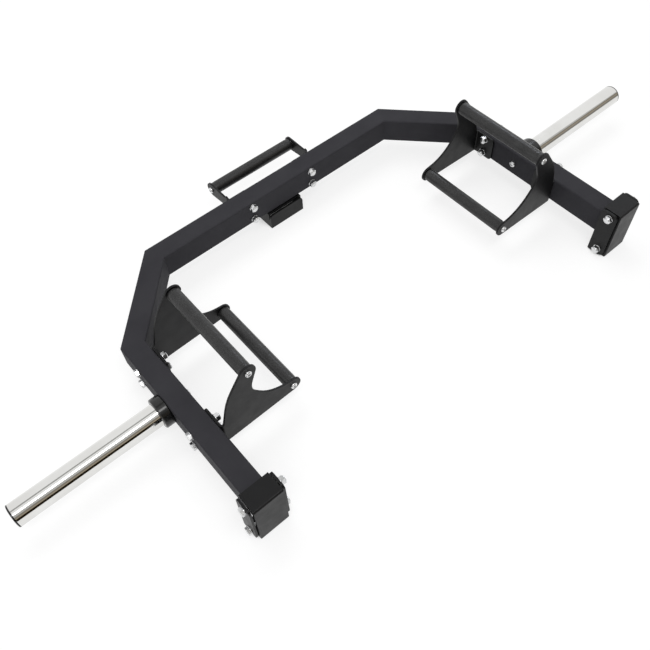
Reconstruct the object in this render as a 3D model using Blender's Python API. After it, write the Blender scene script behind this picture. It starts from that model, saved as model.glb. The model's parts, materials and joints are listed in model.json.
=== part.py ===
"""Open-ended trap bar, built as separate pieces in metres with +Z up.

The model is laid out from the sleeve axis: X runs along both sleeves, Y points from
the open end to the back beam, Z is up and zero at the middle of the tube. An empty
carries everything up to the floor and back to the middle of the object's outline.
"""

import math

import bmesh
import bpy
from mathutils import Matrix, Vector

# Box tube of the frame
TUBE_WIDTH = 0.050
TUBE_HEIGHT = 0.064
TUBE_WALL = 0.003
TUBE_CORNER = 0.004

# Plan of the frame, measured from the sleeve axis
ARM_X = 0.517
BEAM_OUTER_X = 0.3605
BEAM_OUTER_Y = 0.355
ARM_BEND_Y = 0.163
ARM_FRONT_Y = -0.304

# Height of the tube's middle over the floor
FLOOR_DROP = 0.078

# Small clearance that keeps touching pieces apart
GAP = 0.0003

# Plates
PLATE = 0.005
FOLD_RADIUS = 0.0045
HOLE_PLAY = 0.0006

# Side handles
HANDLE_HALF_SPAN = 0.125
FLANGE_REACH = 0.059
FLANGE_HALF_HEIGHT = 0.0315
FLANGE_CORNER = 0.010
UPPER_GRIP = (0.410, 0.146)
LOWER_GRIP = (0.316, -0.006)
LOBE_RADIUS = 0.019
WEB_BELLY = (0.330, 0.036, 0.148)
WEB_SCOOP_UPPER = (0.362, 0.093, -0.045)
WEB_SCOOP_LOWER = (0.312, 0.1085, -0.095)
GRIP_RADIUS = 0.015
FLANGE_BOLT_Y = 0.094
FLANGE_BOLT_Z = 0.021

# Handle behind the back beam
BACK_PLATE_X = 0.125
BACK_GRIP_Y = 0.428
BACK_GRIP_Z = 0.008
BACK_LOBE = 0.018
BACK_FLANGE_REACH = 0.058
BACK_FLANGE_HALF_HEIGHT = 0.0275
BACK_BOLT_X = 0.090
BACK_BOLT_Z = 0.019
BACK_THROAT = 0.022
BACK_SHOULDER = 0.0135
BACK_SHOULDER_TOP = 0.0305

# Feet: the cap is the strip over the arm's end, and the flaps stand outside it
FOOT_CAP_HALF_WIDTH = 0.0335
FOOT_SLOT = 0.0020
FOOT_HALF_WIDTH = FOOT_CAP_HALF_WIDTH + FOOT_SLOT + PLATE
FOOT_TOP_Z = 0.058
FOOT_FLAP_TOP_Z = 0.057
FOOT_FRONT_Y = -0.311
FOOT_FLAP_FRONT_Y = -0.306
FOOT_BACK_Y = -0.265
FOOT_CORNER = 0.010
FOLD_OVERLAP = 0.002
FOLD_INSIDE = 0.001
FOOT_BOLT_Y = -0.288
FOOT_BOLT_Z = (0.0425, -0.0585)
BACK_FOOT_HALF_WIDTH = 0.0505
BACK_FOOT_FRONT_Y = 0.295
BACK_FOOT_FLAP_TOP_Z = -0.036
BACK_FOOT_JOIN_Z = -0.050

# Sleeves
SLEEVE_RADIUS = 0.025
SLEEVE_BORE = 0.0195
SLEEVE_LENGTH = 0.3176
COLLAR_RADIUS = 0.034
COLLAR_LENGTH = 0.0215
AXLE_RADIUS = 0.0125
AXLE_HEAD_RADIUS = 0.0185
AXLE_HEAD = 0.008
BUSH_LENGTH = 0.035
RUNNING_GAP = 0.0004
BUSH_PLAY = 0.0001
END_CAP_LIP = 0.0035
END_CAP_PLUG = 0.014
HEAD_INSET = 0.030
AXLE_BOLT_BITE = 0.030

# Fasteners: shank radius, hex half width across flats, head height
M10 = {"shank": 0.005, "hex": 0.0082, "head": 0.0064, "nut": 0.0080, "washer": 0.0096}
M8 = {"shank": 0.004, "hex": 0.0048, "head": 0.0044, "washer": 0.0076}
AXLE_BOLT = {"shank": 0.005, "hex": 0.0068, "head": 0.0058, "washer": 0.0078}
WASHER_THICKNESS = 0.0016
DOME_RISE = 0.0025
DOME_RIM = 0.90
DOME_TOP = 0.55
SOCKET_DEPTH = 0.0030
SOCKET_SHARE = 0.60
HEAD_ROUNDING = 0.0020
HEAD_TOP_SHARE = 0.78
BOLT_SIDES = 12
BOLT_HOLE = M10["shank"] + HOLE_PLAY
GRIP_HOLE = M8["shank"] + HOLE_PLAY
GRIP_BOLT_DEPTH = 0.022
STUD_INSET = 0.0005

# Facets of the turned pieces
SLEEVE_SIDES = 36
GRIP_SIDES = 24
HOLE_SIDES = 16

ARM_INNER_X = ARM_X - TUBE_WIDTH / 2
ARM_OUTER_X = ARM_X + TUBE_WIDTH / 2
BEAM_INNER_Y = BEAM_OUTER_Y - TUBE_WIDTH
HALF_HEIGHT = TUBE_HEIGHT / 2
MIDDLE_Y = (FOOT_FRONT_Y + BACK_GRIP_Y + BACK_LOBE) / 2


def clear_scene():
    """Empties the file of objects."""
    for item in list(bpy.data.objects):
        bpy.data.objects.remove(item, do_unlink=True)


def make_material(name, colour, metallic, roughness):
    """Returns a plain Principled material."""
    material = bpy.data.materials.new(name)
    material.use_nodes = True
    shader = material.node_tree.nodes["Principled BSDF"]
    shader.inputs["Base Color"].default_value = (*colour, 1.0)
    shader.inputs["Metallic"].default_value = metallic
    shader.inputs["Roughness"].default_value = roughness
    return material


def make_materials():
    """Returns the finishes by name."""
    return {
        "coat": make_material("black_powder_coat", (0.040, 0.040, 0.045), 0.0, 0.55),
        "plate": make_material("black_plate_coat", (0.036, 0.036, 0.036), 0.0, 0.50),
        "grip": make_material("dark_knurled_steel", (0.075, 0.075, 0.075), 0.6, 0.45),
        "chrome": make_material("bright_chrome", (0.80, 0.80, 0.79), 1.0, 0.08),
        "zinc": make_material("zinc_plate", (0.72, 0.73, 0.75), 1.0, 0.28),
        "polymer": make_material("black_polymer", (0.020, 0.020, 0.021), 0.0, 0.40),
        "steel": make_material("turned_steel", (0.45, 0.45, 0.46), 1.0, 0.35),
        "bronze": make_material("bush_bronze", (0.55, 0.36, 0.16), 1.0, 0.40),
    }


def place(name, bm, origin, material=None, centre=(0.0, 0.0, 0.0)):
    """Turns a bmesh into an object whose own origin is at the centre given."""
    bmesh.ops.translate(bm, verts=bm.verts[:], vec=-Vector(centre))
    bmesh.ops.recalc_face_normals(bm, faces=bm.faces[:])
    mesh = bpy.data.meshes.new(name)
    bm.to_mesh(mesh)
    bm.free()
    item = bpy.data.objects.new(name, mesh)
    bpy.context.collection.objects.link(item)
    item.location = centre
    item.parent = origin
    if material is not None:
        mesh.materials.append(material)
    return item


def round_shade(item):
    """Shades round faces smooth and keeps the real edges sharp."""
    item.data.shade_smooth()
    item.data.set_sharp_from_angle(angle=math.radians(35))
    return item


def as_helper(item):
    """Marks a cutter or a guide, which isn't a piece of the bar."""
    item.hide_render = True
    item.display_type = "WIRE"
    return item


def combine(item, helper, operation):
    """Adds an exact Boolean with a helper to a piece."""
    modifier = item.modifiers.new(helper.name, "BOOLEAN")
    modifier.operation = operation
    modifier.solver = "EXACT"
    modifier.object = helper


def outline(circles, step_angle=math.radians(15)):
    """Returns the points of a belt around signed circles.

    A circle is x, y and a radius: above zero the belt turns left around it, below
    zero it turns right, and at zero it makes a sharp corner.
    """
    headings = []
    for here, there in zip(circles, circles[1:] + circles[:1]):
        along = Vector((there[0] - here[0], there[1] - here[1]))
        lean = math.asin((here[2] - there[2]) / along.length)
        headings.append(math.atan2(along.y, along.x) + lean)
    points = []
    for index, (x, y, radius) in enumerate(circles):
        start, end = headings[index - 1], headings[index]
        turn = (end - start) % (2 * math.pi)
        if radius < 0:
            turn -= 2 * math.pi
        steps = 0 if radius == 0 else max(1, math.ceil(abs(turn) / step_angle))
        for step in range(steps + 1):
            heading = start + turn * step / max(steps, 1)
            points.append((x + radius * math.sin(heading), y - radius * math.cos(heading)))
    return points


def prism(points, low, high, frame):
    """Extrudes an outline from low to high; the frame maps (u, v, w) to the bar."""
    bm = bmesh.new()
    ring = [bm.verts.new(frame @ Vector((u, v, low))) for u, v in points]
    face = bm.faces.new(ring)
    grown = bmesh.ops.extrude_face_region(bm, geom=[face])["geom"]
    moved = [part for part in grown if isinstance(part, bmesh.types.BMVert)]
    rise = (frame @ Vector((0, 0, high))) - (frame @ Vector((0, 0, low)))
    bmesh.ops.translate(bm, verts=moved, vec=rise)
    return bm


def axes(u, v, w):
    """Returns a frame whose columns are the three directions given."""
    return Matrix((u, v, w)).transposed()


FLAT_XZ = axes((1, 0, 0), (0, 0, 1), (0, 1, 0))
FLAT_YZ = axes((0, 1, 0), (0, 0, 1), (1, 0, 0))
FLAT_ZY = axes((0, 0, 1), (0, 1, 0), (1, 0, 0))


def box_outline(u_low, u_high, v_low, v_high, radius=0.0):
    """Returns a rectangle with rounded corners, counter-clockwise."""
    corners = [
        (u_low, v_low, 1, 1),
        (u_high, v_low, -1, 1),
        (u_high, v_high, -1, -1),
        (u_low, v_high, 1, -1),
    ]
    return outline([(u + a * radius, v + b * radius, radius) for u, v, a, b in corners])


def along_axis(start, direction):
    """Returns the matrix that takes local +Z to a direction, from a start point."""
    turn = Vector((0, 0, 1)).rotation_difference(Vector(direction)).to_matrix().to_4x4()
    return Matrix.Translation(start) @ turn


def lathe(profile, sides, start, direction, closed):
    """Turns a profile of (offset, radius) points about an axis with a spin."""
    bm = bmesh.new()
    verts = [bm.verts.new((radius, 0.0, offset)) for offset, radius in profile]
    pairs = list(zip(verts, verts[1:] + verts[:1])) if closed else list(zip(verts, verts[1:]))
    edges = [bm.edges.new(pair) for pair in pairs]
    bmesh.ops.spin(bm, geom=verts + edges, cent=(0, 0, 0), axis=(0, 0, 1),
                   angle=2 * math.pi, steps=sides, use_merge=True)
    bmesh.ops.remove_doubles(bm, verts=bm.verts[:], dist=1e-6)
    bmesh.ops.transform(bm, matrix=along_axis(start, direction), verts=bm.verts[:])
    return bm


def hex_reach(angle, half_width):
    """Returns how far a hexagon's side lies from its middle at an angle."""
    within = (angle + math.pi / 6) % (math.pi / 3) - math.pi / 6
    return half_width / math.cos(within)


def ring_stack(stack, start, direction):
    """Lofts rings of (offset, size, is_hex) into one closed fastener."""
    bm = bmesh.new()
    rings = []
    for offset, size, is_hex in stack:
        ring = []
        for side in range(BOLT_SIDES):
            angle = 2 * math.pi * side / BOLT_SIDES
            reach = hex_reach(angle, size) if is_hex else size
            ring.append(bm.verts.new((reach * math.cos(angle), reach * math.sin(angle), offset)))
        rings.append(ring)
    for lower, upper in zip(rings, rings[1:]):
        for side in range(BOLT_SIDES):
            nxt = (side + 1) % BOLT_SIDES
            bm.faces.new((lower[side], lower[nxt], upper[nxt], upper[side]))
    bm.faces.new(reversed(rings[0]))
    bm.faces.new(rings[-1])
    bmesh.ops.transform(bm, matrix=along_axis(start, direction), verts=bm.verts[:])
    return bm


def through_bolt(name, start, direction, clamped, origin, material):
    """Makes a hex bolt, its washers and its dome nut around a clamped thickness."""
    washer, hex_size = M10["washer"], M10["hex"]
    head_top = -(GAP + WASHER_THICKNESS + M10["head"])
    head = [
        (head_top, hex_size, True),
        (-(GAP + WASHER_THICKNESS), hex_size, True),
        (-(GAP + WASHER_THICKNESS), washer, False),
        (-GAP, washer, False),
        (-GAP, M10["shank"], False),
    ]
    stack = head + nut_rings(clamped)
    return round_shade(place(name, ring_stack(stack, start, direction), origin, material))


def stud(name, start, direction, clamped, origin, material):
    """Makes a stud that ends inside its plate, with a washer and a dome nut."""
    stack = [(STUD_INSET, M10["shank"], False)] + nut_rings(clamped)
    return round_shade(place(name, ring_stack(stack, start, direction), origin, material))


def nut_rings(clamped):
    """Returns the rings from a shank's far end over its washer and dome nut."""
    washer, hex_size = M10["washer"], M10["hex"]
    nut_seat = clamped + GAP + WASHER_THICKNESS
    dome = nut_seat + M10["nut"]
    return [
        (clamped + GAP, M10["shank"], False),
        (clamped + GAP, washer, False),
        (nut_seat, washer, False),
        (nut_seat, hex_size, True),
        (dome, hex_size, True),
        (dome, hex_size * DOME_RIM, False),
        (dome + DOME_RISE, hex_size * DOME_TOP, False),
    ]


def socket_bolt(name, start, direction, size, reach, origin, material):
    """Makes a button or cap screw with a hex socket, pointing along a direction."""
    head_top = -(GAP + size["head"])
    stack = [
        (head_top + SOCKET_DEPTH, size["hex"] * SOCKET_SHARE, True),
        (head_top, size["hex"] * SOCKET_SHARE, True),
        (head_top, size["washer"] * HEAD_TOP_SHARE, False),
        (head_top + HEAD_ROUNDING, size["washer"], False),
        (-GAP, size["washer"], False),
        (-GAP, size["shank"], False),
        (reach, size["shank"], False),
    ]
    return round_shade(place(name, ring_stack(stack, start, direction), origin, material))


def hole_cutter(name, places, direction, radius, length, origin):
    """Makes one helper with a round cutter at each place, centred on its length."""
    bm = bmesh.new()
    for spot in places:
        turn = along_axis(spot, direction)
        bmesh.ops.create_cone(bm, cap_ends=True, segments=HOLE_SIDES, radius1=radius,
                              radius2=radius, depth=length, matrix=turn)
    return as_helper(place(name, bm, origin))


def tube_section(width, height, corner, inset):
    """Returns the section of a box tube as (across, up) points."""
    half_w, half_h = width / 2 - inset, height / 2 - inset
    return box_outline(-half_w, half_w, -half_h, half_h, max(corner - inset, 0.0010))


def box_tube(name, start, end, origin, material):
    """Makes one mitred tube between two ends, each an inner and an outer corner."""
    axis = (Vector(end[0]) + Vector(end[1]) - Vector(start[0]) - Vector(start[1])).normalized()
    sections = [tube_section(TUBE_WIDTH, TUBE_HEIGHT, TUBE_CORNER, inset) for inset in (0.0, TUBE_WALL)]
    bm = bmesh.new()
    rings = []
    for (inner, outer), shift in ((start, GAP / 2), (end, -GAP / 2)):
        for section in sections:
            ring = []
            for across, up in section:
                plan = Vector(inner).lerp(Vector(outer), across / TUBE_WIDTH + 0.5) + axis * shift
                ring.append(bm.verts.new((plan.x, plan.y, up)))
            rings.append(ring)
    for first, second in ((0, 2), (1, 3), (0, 1), (2, 3)):
        pairs = list(zip(rings[first], rings[second]))
        for (a, b), (c, d) in zip(pairs, pairs[1:] + pairs[:1]):
            bm.faces.new((a, c, d, b))
    return place(name, bm, origin, material)


def inner_corners():
    """Returns the frame's corners in plan on the right side: inner and outer pairs."""
    back = Vector((BEAM_OUTER_X, BEAM_OUTER_Y))
    bend = Vector((ARM_OUTER_X, ARM_BEND_Y))
    slope = (back - bend).normalized()
    inward = Vector((-slope.y, slope.x))
    base = bend + inward * TUBE_WIDTH
    back_inner = base + slope * ((BEAM_INNER_Y - base.y) / slope.y)
    bend_inner = base + slope * ((ARM_INNER_X - base.x) / slope.x)
    return (back_inner, back), (bend_inner, bend)


def mirrored(pair, side):
    """Returns a pair of plan points on the side given, +1 right and -1 left."""
    return tuple((side * point[0], point[1]) for point in pair)


def build_frame(origin, finish):
    """Makes the five welded tubes."""
    back_corner, bend_corner = inner_corners()
    left_end, right_end = mirrored(back_corner, -1), mirrored(back_corner, 1)
    beam = box_tube("back_beam", left_end, right_end, origin, finish["coat"])
    spots = [(x, BEAM_INNER_Y + TUBE_WIDTH / 2, z)
             for x in (-BACK_BOLT_X, BACK_BOLT_X) for z in (-BACK_BOLT_Z, BACK_BOLT_Z)]
    cutter = hole_cutter("beam_bolt_holes", spots, (0, 1, 0), BOLT_HOLE, 0.06, origin)
    combine(beam, cutter, "DIFFERENCE")
    front = ((ARM_INNER_X, ARM_FRONT_Y), (ARM_OUTER_X, ARM_FRONT_Y))
    for label, side in SIDES:
        bend = mirrored(bend_corner, side)
        box_tube(f"{label}_diagonal", mirrored(back_corner, side), bend, origin, finish["coat"])
        arm = box_tube(f"{label}_arm", bend, mirrored(front, side), origin, finish["coat"])
        spots = [(side * ARM_X, y, z) for y in (-FLANGE_BOLT_Y, FLANGE_BOLT_Y)
                 for z in (-FLANGE_BOLT_Z, FLANGE_BOLT_Z)] + [(side * ARM_X, 0.0, 0.0)]
        cutter = hole_cutter(f"{label}_arm_holes", spots, (1, 0, 0), BOLT_HOLE, 0.06, origin)
        combine(arm, cutter, "DIFFERENCE")


def web_outline():
    """Returns the outline of a side handle's web in X and Z, right side."""
    wall = ARM_INNER_X - GAP
    return outline([
        (wall, -FLANGE_HALF_HEIGHT, 0.0),
        (wall, FLANGE_HALF_HEIGHT, 0.0),
        WEB_BELLY,
        (*UPPER_GRIP, LOBE_RADIUS),
        WEB_SCOOP_UPPER,
        WEB_SCOOP_LOWER,
        (*LOWER_GRIP, LOBE_RADIUS),
    ])


def flange_outline(tip, root, half_height):
    """Returns a bolted flange: square at its fold, rounded at its free end."""
    sign = 1 if root > tip else -1
    circles = [
        (root, -half_height, 0.0),
        (root, half_height, 0.0),
        (tip + sign * FLANGE_CORNER, half_height - FLANGE_CORNER, FLANGE_CORNER),
        (tip + sign * FLANGE_CORNER, -half_height + FLANGE_CORNER, FLANGE_CORNER),
    ]
    if sign < 0:
        circles = [circles[1], circles[0], circles[3], circles[2]]
    return outline(circles)


def mirror_x(points):
    """Returns an outline mirrored in X, kept counter-clockwise."""
    return [(-u, v) for u, v in reversed(points)]


def build_side_handles(origin, finish):
    """Makes the folded handle plates, their grips and the bolts of both sides."""
    for label, side in SIDES:
        web = web_outline() if side > 0 else mirror_x(web_outline())
        wall_low, wall_high = sorted((side * (ARM_INNER_X - GAP - PLATE), side * (ARM_INNER_X - GAP)))
        for end_label, end in ENDS:
            name = f"{label}_{end_label}_handle_plate"
            root = end * HANDLE_HALF_SPAN
            low, high = sorted((root, root - end * PLATE))
            plate = place(name, prism(web, low, high, FLAT_XZ), origin, finish["plate"])
            tip = root - end * FLANGE_REACH
            flange = prism(flange_outline(tip, root, FLANGE_HALF_HEIGHT), wall_low, wall_high, FLAT_YZ)
            combine(plate, as_helper(place(f"{name}_flange", flange, origin)), "UNION")
            cut_handle_holes(plate, name, side, end, origin)
            for spot, (x, z) in (("upper", UPPER_GRIP), ("lower", LOWER_GRIP)):
                bolt_name = f"{label}_{spot}_grip_{end_label}_bolt"
                socket_bolt(bolt_name, (side * x, root, z), (0, -end, 0), M8,
                            PLATE + GRIP_BOLT_DEPTH, origin, finish["zinc"])
            for spot, z in (("upper", FLANGE_BOLT_Z), ("lower", -FLANGE_BOLT_Z)):
                start = (side * ARM_OUTER_X, end * FLANGE_BOLT_Y, z)
                clamped = TUBE_WIDTH + PLATE + GAP
                through_bolt(f"{label}_{end_label}_plate_{spot}_bolt", start, (-side, 0, 0), clamped,
                             origin, finish["zinc"])
        for spot, (x, z) in (("upper", UPPER_GRIP), ("lower", LOWER_GRIP)):
            make_grip(f"{label}_{spot}_grip", (side * x, 0.0, z), (0, 1, 0),
                      HANDLE_HALF_SPAN - PLATE - GAP, origin, finish["grip"])


def cut_handle_holes(plate, name, side, end, origin):
    """Cuts the grip holes and the flange holes of one handle plate."""
    middle = end * (HANDLE_HALF_SPAN - PLATE / 2)
    spots = [(side * x, middle, z) for x, z in (UPPER_GRIP, LOWER_GRIP)]
    grips = hole_cutter(f"{name}_grip_holes", spots, (0, 1, 0), GRIP_HOLE, 3 * PLATE, origin)
    combine(plate, grips, "DIFFERENCE")
    wall = side * (ARM_INNER_X - GAP - PLATE / 2)
    spots = [(wall, end * FLANGE_BOLT_Y, z) for z in (-FLANGE_BOLT_Z, FLANGE_BOLT_Z)]
    holes = hole_cutter(f"{name}_flange_holes", spots, (1, 0, 0), BOLT_HOLE, 3 * PLATE, origin)
    combine(plate, holes, "DIFFERENCE")


def make_grip(name, middle, direction, half_length, origin, material):
    """Makes a grip bar with a tapped hole in each end."""
    bore, depth = GRIP_HOLE, GRIP_BOLT_DEPTH + 0.003
    profile = [
        (-half_length + depth, 0.0),
        (-half_length + depth, bore),
        (-half_length, bore),
        (-half_length, GRIP_RADIUS),
        (half_length, GRIP_RADIUS),
        (half_length, bore),
        (half_length - depth, bore),
        (half_length - depth, 0.0),
    ]
    bar = lathe(profile, GRIP_SIDES, middle, direction, False)
    return round_shade(place(name, bar, origin, material))


def back_web_outline():
    """Returns the outline of a back handle plate in Y and Z."""
    wall = BEAM_OUTER_Y + GAP
    return outline([
        (wall, -BACK_FLANGE_HALF_HEIGHT, 0.0),
        (wall + BACK_THROAT, BACK_GRIP_Z - BACK_LOBE, -0.006),
        (BACK_GRIP_Y, BACK_GRIP_Z, BACK_LOBE),
        (wall + BACK_SHOULDER + 0.0015, BACK_GRIP_Z + BACK_LOBE + 0.0015, -0.0015),
        (wall + BACK_SHOULDER - 0.0025, BACK_SHOULDER_TOP - 0.0025, 0.0025),
        (wall, BACK_SHOULDER_TOP, 0.0),
    ])


def build_back_handle(origin, finish):
    """Makes the handle behind the back beam, with its four studs."""
    wall = BEAM_OUTER_Y + GAP
    for label, side in SIDES:
        name = f"back_handle_{label}_plate"
        root = side * BACK_PLATE_X
        low, high = sorted((root, root - side * PLATE))
        plate = place(name, prism(back_web_outline(), low, high, FLAT_YZ), origin, finish["plate"])
        tip = root - side * BACK_FLANGE_REACH
        flange = prism(flange_outline(tip, root, BACK_FLANGE_HALF_HEIGHT), wall, wall + PLATE, FLAT_XZ)
        combine(plate, as_helper(place(f"{name}_flange", flange, origin)), "UNION")
        spot = [(root - side * PLATE / 2, BACK_GRIP_Y, BACK_GRIP_Z)]
        hole = hole_cutter(f"{name}_grip_hole", spot, (1, 0, 0), GRIP_HOLE, 3 * PLATE, origin)
        combine(plate, hole, "DIFFERENCE")
        spots = [(side * BACK_BOLT_X, wall + PLATE / 2, z) for z in (-BACK_BOLT_Z, BACK_BOLT_Z)]
        holes = hole_cutter(f"{name}_flange_holes", spots, (0, 1, 0), BOLT_HOLE, 3 * PLATE, origin)
        combine(plate, holes, "DIFFERENCE")
        socket_bolt(f"back_grip_{label}_bolt", (root, BACK_GRIP_Y, BACK_GRIP_Z), (-side, 0, 0), M8,
                    PLATE + GRIP_BOLT_DEPTH, origin, finish["zinc"])
        for spot_label, z in (("upper", BACK_BOLT_Z), ("lower", -BACK_BOLT_Z)):
            start = (side * BACK_BOLT_X, wall + PLATE, z)
            stud_name = f"back_beam_{label}_{spot_label}_stud"
            stud(stud_name, start, (0, -1, 0), TUBE_WIDTH + PLATE + GAP, origin, finish["zinc"])
    make_grip("back_grip", (0.0, BACK_GRIP_Y, BACK_GRIP_Z), (1, 0, 0), BACK_PLATE_X - PLATE - GAP,
              origin, finish["grip"])


def channel_outline(u_low, u_high, v_base, low_end, high_end):
    """Returns a U-shaped strip: a web at v_base and a leg at each end of it."""
    rise = 1 if low_end > v_base else -1
    fold = v_base + rise * FOLD_RADIUS
    inner = v_base + rise * (PLATE + FOLD_INSIDE)
    circles = [
        (u_low + FOLD_RADIUS, fold, FOLD_RADIUS),
        (u_high - FOLD_RADIUS, fold, FOLD_RADIUS),
        (u_high, high_end, 0.0),
        (u_high - PLATE, high_end, 0.0),
        (u_high - PLATE - FOLD_INSIDE, inner, -FOLD_INSIDE),
        (u_low + PLATE + FOLD_INSIDE, inner, -FOLD_INSIDE),
        (u_low + PLATE, low_end, 0.0),
        (u_low, low_end, 0.0),
    ]
    if rise < 0:
        circles.reverse()
    return outline(circles)


def build_front_feet(origin, finish):
    """Makes the folded boxes that close the arms and stand on the floor."""
    floor = -FLOOR_DROP
    relief = FOOT_FLAP_FRONT_Y + FOOT_CORNER
    root = floor + FOLD_RADIUS
    cap = channel_outline(floor, FOOT_TOP_Z, FOOT_FRONT_Y, relief + FOLD_OVERLAP, FOOT_BACK_Y)
    flap = outline([
        (relief, root + FOOT_CORNER, FOOT_CORNER),
        (FOOT_BACK_Y, root, 0.0),
        (FOOT_BACK_Y - FOOT_CORNER, FOOT_FLAP_TOP_Z - FOOT_CORNER, FOOT_CORNER),
        (relief, FOOT_FLAP_TOP_Z - FOOT_CORNER, FOOT_CORNER),
    ])
    for label, side in SIDES:
        name = f"{label}_front_foot"
        middle = side * ARM_X
        low, high = middle - FOOT_CAP_HALF_WIDTH, middle + FOOT_CAP_HALF_WIDTH
        foot = place(name, prism(cap, low, high, FLAT_ZY), origin, finish["plate"])
        left, right = middle - FOOT_HALF_WIDTH, middle + FOOT_HALF_WIDTH
        tray = channel_outline(left, right, floor, root + FOLD_OVERLAP, root + FOLD_OVERLAP)
        bm = prism(tray, relief, FOOT_BACK_Y, FLAT_XZ)
        combine(foot, as_helper(place(f"{name}_tray", bm, origin)), "UNION")
        for flap_label, start in (("left", left), ("right", right - PLATE)):
            bm = prism(flap, start, start + PLATE, FLAT_YZ)
            combine(foot, as_helper(place(f"{name}_{flap_label}_flap", bm, origin)), "UNION")
        spots = [(middle, FOOT_BOLT_Y, z) for z in FOOT_BOLT_Z]
        holes = hole_cutter(f"{name}_holes", spots, (1, 0, 0), BOLT_HOLE, 0.09, origin)
        combine(foot, holes, "DIFFERENCE")
        for spot_label, z in zip(("upper", "lower"), FOOT_BOLT_Z):
            start = (middle + side * FOOT_HALF_WIDTH, FOOT_BOLT_Y, z)
            through_bolt(f"{name}_{spot_label}_bolt", start, (-side, 0, 0), 2 * FOOT_HALF_WIDTH,
                         origin, finish["zinc"])


def build_back_foot(origin, finish):
    """Makes the folded box under the back beam, open below."""
    top, floor = -HALF_HEIGHT - GAP, -FLOOR_DROP
    wall = BACK_FOOT_HALF_WIDTH
    beam_middle = BEAM_INNER_Y + TUBE_WIDTH / 2
    reach = beam_middle - BACK_FOOT_FRONT_Y
    inset = reach - PLATE - FOOT_SLOT
    channel = channel_outline(-wall, wall, top, floor, floor)
    bm = prism(channel, beam_middle - inset, beam_middle + inset, FLAT_XZ)
    foot = place("back_foot", bm, origin, finish["plate"])
    flap = outline([
        (-wall, floor, 0.0),
        (wall, floor, 0.0),
        (wall - FOOT_CORNER, BACK_FOOT_FLAP_TOP_Z - FOOT_CORNER, FOOT_CORNER),
        (-wall + FOOT_CORNER, BACK_FOOT_FLAP_TOP_Z - FOOT_CORNER, FOOT_CORNER),
    ])
    for label, end in ENDS:
        start = beam_middle + end * reach
        low, high = sorted((start, start - end * PLATE))
        helper = place(f"back_foot_{label}_flap", prism(flap, low, high, FLAT_XZ), origin)
        combine(foot, as_helper(helper), "UNION")
        near = start - end * (PLATE - FOLD_OVERLAP)
        far = start - end * (PLATE + FOOT_SLOT + FOLD_OVERLAP)
        low, high = sorted((near, far))
        join = box_outline(low, high, floor, BACK_FOOT_JOIN_Z)
        for wall_label, left in (("left", -wall), ("right", wall - PLATE)):
            bm = prism(join, left, left + PLATE, FLAT_YZ)
            helper = place(f"back_foot_{label}_{wall_label}_join", bm, origin)
            combine(foot, as_helper(helper), "UNION")


def build_sleeves(origin, finish):
    """Makes the turning sleeves, the fixed axles in them and the axle bolts."""
    root = ARM_OUTER_X + GAP
    collar_start = root + RUNNING_GAP
    collar_end = collar_start + COLLAR_LENGTH
    sleeve_end = collar_end + SLEEVE_LENGTH - END_CAP_LIP
    head_start = sleeve_end - HEAD_INSET
    running = AXLE_RADIUS + BUSH_PLAY
    plug = SLEEVE_BORE - GAP
    bore, depth = AXLE_BOLT["shank"] + HOLE_PLAY, AXLE_BOLT_BITE + 0.005
    collar = [
        (collar_start, running),
        (collar_start, COLLAR_RADIUS - 0.001),
        (collar_start + 0.001, COLLAR_RADIUS),
        (collar_end - 0.002, COLLAR_RADIUS),
        (collar_end, COLLAR_RADIUS - 0.002),
        (collar_end, running),
    ]
    sleeve = [
        (collar_end + GAP, SLEEVE_BORE),
        (collar_end + GAP, SLEEVE_RADIUS),
        (sleeve_end - 0.0005, SLEEVE_RADIUS),
        (sleeve_end, SLEEVE_RADIUS - 0.0005),
        (sleeve_end, SLEEVE_BORE),
    ]
    cap = [
        (sleeve_end - END_CAP_PLUG, 0.0),
        (sleeve_end - END_CAP_PLUG, plug),
        (sleeve_end + GAP, plug),
        (sleeve_end + GAP, SLEEVE_RADIUS),
        (sleeve_end + END_CAP_LIP - 0.0012, SLEEVE_RADIUS),
        (sleeve_end + END_CAP_LIP, SLEEVE_RADIUS - 0.0015),
        (sleeve_end + END_CAP_LIP, 0.0),
    ]
    axle = [
        (root + depth, 0.0),
        (root + depth, bore),
        (root, bore),
        (root, AXLE_RADIUS),
        (head_start, AXLE_RADIUS),
        (head_start, AXLE_HEAD_RADIUS),
        (head_start + AXLE_HEAD, AXLE_HEAD_RADIUS),
        (head_start + AXLE_HEAD, 0.0),
    ]
    turned = [
        ("collar", collar, True, "polymer"),
        ("sleeve", sleeve, True, "chrome"),
        ("end_cap", cap, False, "polymer"),
        ("axle", axle, False, "steel"),
    ]
    for spot, seat in (("inner", collar_end + 0.004), ("outer", head_start - RUNNING_GAP - BUSH_LENGTH)):
        bush = [
            (seat, running),
            (seat, plug),
            (seat + BUSH_LENGTH, plug),
            (seat + BUSH_LENGTH, running),
        ]
        turned.append((f"{spot}_bush", bush, True, "bronze"))
    for label, side in SIDES:
        out = (side, 0, 0)
        for part_name, profile, closed, slot in turned:
            bm = lathe(profile, SLEEVE_SIDES, (0, 0, 0), out, closed)
            centre = (side * profile[0][0], 0.0, 0.0)
            round_shade(place(f"{label}_{part_name}", bm, origin, finish[slot], centre))
        socket_bolt(f"{label}_axle_bolt", (side * ARM_INNER_X, 0.0, 0.0), out, AXLE_BOLT,
                    TUBE_WIDTH + GAP + AXLE_BOLT_BITE, origin, finish["zinc"])


SIDES = (("left", -1), ("right", 1))
ENDS = (("front", -1), ("rear", 1))


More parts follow.
